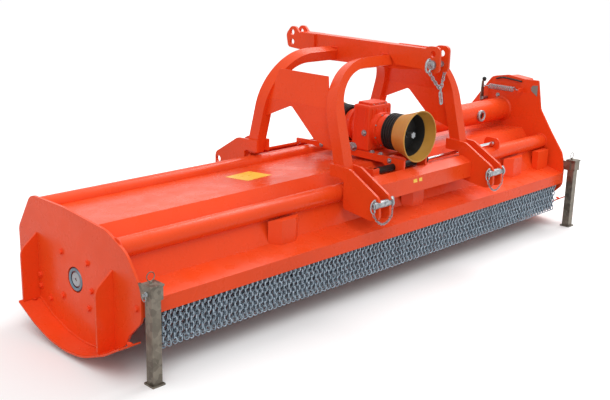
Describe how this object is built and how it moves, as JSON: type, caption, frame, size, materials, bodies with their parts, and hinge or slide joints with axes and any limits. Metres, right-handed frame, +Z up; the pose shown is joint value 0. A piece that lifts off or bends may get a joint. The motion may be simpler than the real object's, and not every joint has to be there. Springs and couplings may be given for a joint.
{
  "type": "tractor mulcher",
  "caption": "Wide three-point-hitch flail mulcher with arched side-shift headstock, hammer rotor, chain curtain, rear roller and parking stands.",
  "frame": {"origin": "on the ground, centred under the machine's bounding box", "axes": "+X across the machine towards the belt-drive side, -Y towards the tractor, +Z up"},
  "size_m": [3.461, 1.2285, 1.256],
  "materials": {
    "red_paint": "gloss",
    "galvanised": "galvanised",
    "chrome_rod": "polished",
    "bare_steel": "machined",
    "dark_paint": "satin",
    "black_parts": "matte",
    "yellow_plastic": "satin"
  },
  "bodies": {
    "casing": {"top_sheet": "red_paint", "front_sheet": "red_paint", "front_ribs": "red_paint", "rear_sheet": "red_paint", "front_guide_tube": "red_paint", "rear_guide_tube": "red_paint", "left_side_plate": "red_paint", "right_side_plate": "red_paint", "left_skid": "red_paint", "right_skid": "red_paint", "belt_cover": "red_paint", "chain_rail": "galvanised", "chain_curtain": "galvanised", "rotor_bearings": "bare_steel", "roller_arms": "red_paint", "flap_hinge_pin": "bare_steel", "left_stand_guide": "red_paint", "right_stand_guide": "red_paint", "drive_tube": "red_paint", "belt_tensioner": "galvanised", "cylinder_rod_lug": "red_paint", "cylinder_rod": "chrome_rod"},
    "headstock": {"front_arch": "red_paint", "rear_arch": "red_paint", "top_beam": "red_paint", "front_top_ears": "red_paint", "rear_top_ears": "red_paint", "front_hitch_plates": "red_paint", "rear_hitch_plates": "red_paint", "guide_slides": "red_paint", "front_cross_member": "red_paint", "rear_cross_member": "red_paint", "gearbox_seat": "red_paint", "left_side_panel": "red_paint", "right_side_panel": "red_paint", "gearbox": "red_paint", "cone_collars": "black_parts", "front_cone_guard": "yellow_plastic", "rear_cone_guard": "yellow_plastic", "drive_guard": "red_paint", "lower_hitch_pins": "galvanised", "top_link_pin": "galvanised", "cylinder_base_lug": "red_paint", "cylinder_barrel": "black_parts"},
    "pto": {"pto_shaft": "bare_steel"},
    "rotor": {"rotor": "dark_paint", "hammers": "dark_paint"},
    "roller": {"rear_roller": "dark_paint"},
    "flap": {"rear_flap": "dark_paint"},
    "left_stand": {"left_stand": "galvanised"},
    "right_stand": {"right_stand": "galvanised"}
  },
  "joints": [
    {"name": "headstock_shift", "type": "slide", "parent": "casing", "child": "headstock", "axis": [1, 0, 0], "range_m": [-0.22, 0.17]},
    {"name": "rotor_spin", "type": "hinge", "parent": "casing", "child": "rotor", "pos_m": [0, -0.014, 0.308], "axis": [1, 0, 0], "continuous": true},
    {"name": "pto_spin", "type": "hinge", "parent": "headstock", "child": "pto", "pos_m": [0.214, 0, 0.757], "axis": [0, 1, 0], "continuous": true},
    {"name": "roller_spin", "type": "hinge", "parent": "casing", "child": "roller", "pos_m": [0, 0.322, 0.084], "axis": [1, 0, 0], "continuous": true},
    {"name": "rear_flap_hinge", "type": "hinge", "parent": "casing", "child": "flap", "pos_m": [0, 0.432, 0.345], "axis": [1, 0, 0], "range_deg": [0, 70]},
    {"name": "left_stand_slide", "type": "slide", "parent": "casing", "child": "left_stand", "axis": [0, 0, 1], "range_m": [0, 0.22]},
    {"name": "right_stand_slide", "type": "slide", "parent": "casing", "child": "right_stand", "axis": [0, 0, 1], "range_m": [0, 0.22]}
  ],
  "couplings": [
    {"joint": "pto_spin", "follows": "rotor_spin", "ratio": 0.5}
  ]
}
